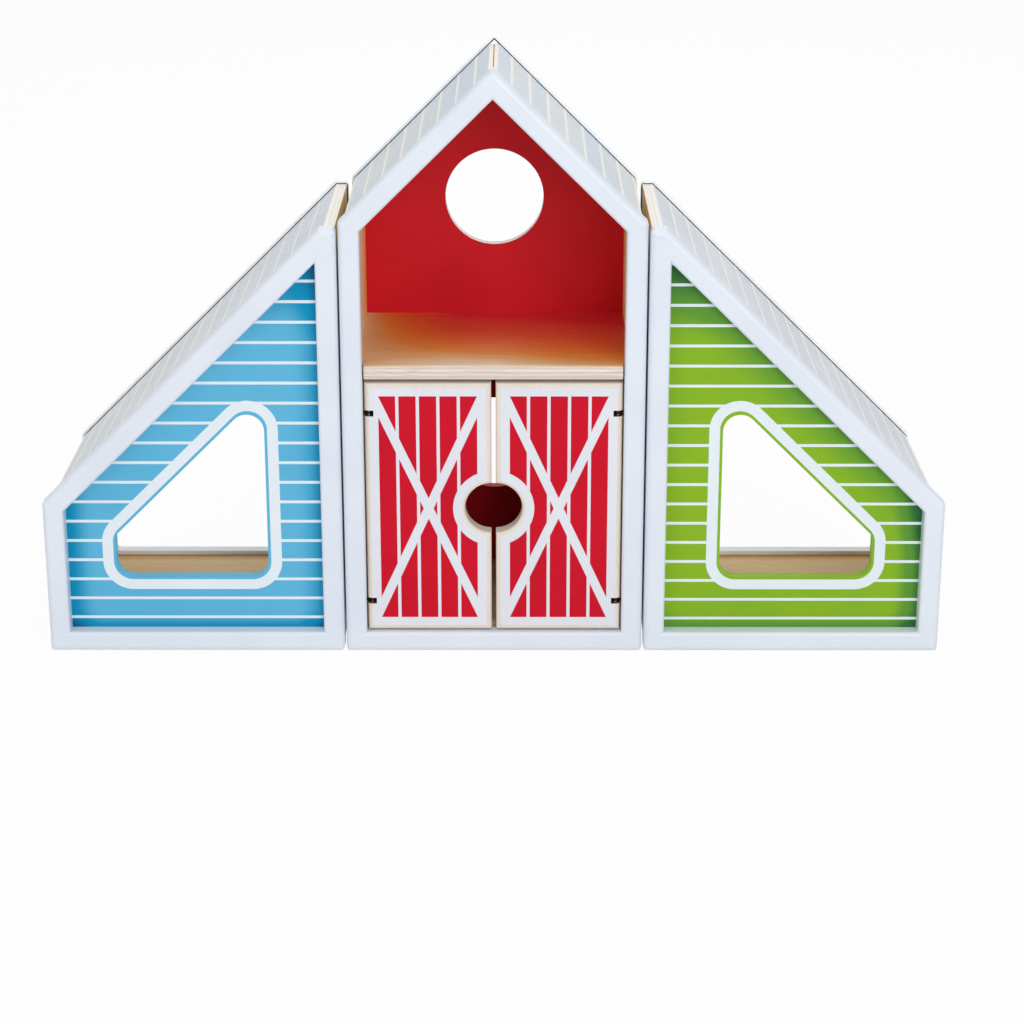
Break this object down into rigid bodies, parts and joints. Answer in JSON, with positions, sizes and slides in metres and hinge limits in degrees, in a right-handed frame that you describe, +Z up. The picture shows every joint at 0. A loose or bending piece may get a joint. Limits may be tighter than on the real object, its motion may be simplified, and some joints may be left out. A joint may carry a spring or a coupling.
{
  "type": "toy barn",
  "caption": "Wooden toy barn with hinged plank doors, an open loft under a gabled roof, and lean-to side wings with windows that stand against its sides.",
  "frame": {"origin": "centre of the footprint, on the surface that the barn stands on", "axes": "+X to the right seen from the front, +Y towards the back, +Z up"},
  "size_m": [0.6024, 0.14, 0.3996],
  "materials": {
    "painted_white": "satin paint over plywood",
    "plywood": "clear satin lacquer",
    "roof_print": "grey printed plywood with bare plank lines",
    "barn_red": "satin paint",
    "door_print": "red and white print on plywood",
    "wing_blue": "blue print with white stripes on plywood",
    "wing_green": "green print with white stripes on plywood",
    "beech": "plain",
    "bright_steel": "zinc plated",
    "dark_steel": "dark"
  },
  "bodies": {
    "barn": {"barn_front_frame": "painted_white", "barn_rear_frame": "painted_white", "barn_back_panel": "barn_red", "barn_floor": "plywood", "barn_left_wall": "plywood", "barn_right_wall": "plywood", "barn_left_roof": "roof_print", "barn_right_roof": "roof_print", "loft_board": "plywood", "barn_dowels": "beech", "barn_screws": "bright_steel", "left_hinge_eyes": "dark_steel", "right_hinge_eyes": "dark_steel"},
    "left_door": {"left_door": "door_print", "left_hinge_pins": "bright_steel"},
    "right_door": {"right_door": "door_print", "right_hinge_pins": "bright_steel"},
    "left_wing": {"left_wing_front_frame": "painted_white", "left_wing_rear_frame": "painted_white", "left_wing_front_panel": "wing_blue", "left_wing_floor": "plywood", "left_wing_inner_wall": "plywood", "left_wing_outer_wall": "plywood", "left_wing_roof": "roof_print", "left_wing_dowels": "beech", "left_wing_screws": "bright_steel"},
    "right_wing": {"right_wing_front_frame": "painted_white", "right_wing_rear_frame": "painted_white", "right_wing_front_panel": "wing_green", "right_wing_floor": "plywood", "right_wing_inner_wall": "plywood", "right_wing_outer_wall": "plywood", "right_wing_roof": "roof_print", "right_wing_dowels": "beech", "right_wing_screws": "bright_steel"}
  },
  "joints": [
    {"name": "left_door_hinge", "type": "hinge", "parent": "barn", "child": "left_door", "pos_m": [-0.0822, -0.063, 0.103], "axis": [0, 0, -1], "range_deg": [0, 95]},
    {"name": "right_door_hinge", "type": "hinge", "parent": "barn", "child": "right_door", "pos_m": [0.0822, -0.063, 0.103], "axis": [0, 0, 1], "range_deg": [0, 95]},
    {"name": "left_wing_slide", "type": "slide", "parent": "barn", "child": "left_wing", "axis": [-1, 0, 0], "range_m": [0, 0.15]},
    {"name": "right_wing_slide", "type": "slide", "parent": "barn", "child": "right_wing", "axis": [1, 0, 0], "range_m": [0, 0.15]}
  ]
}
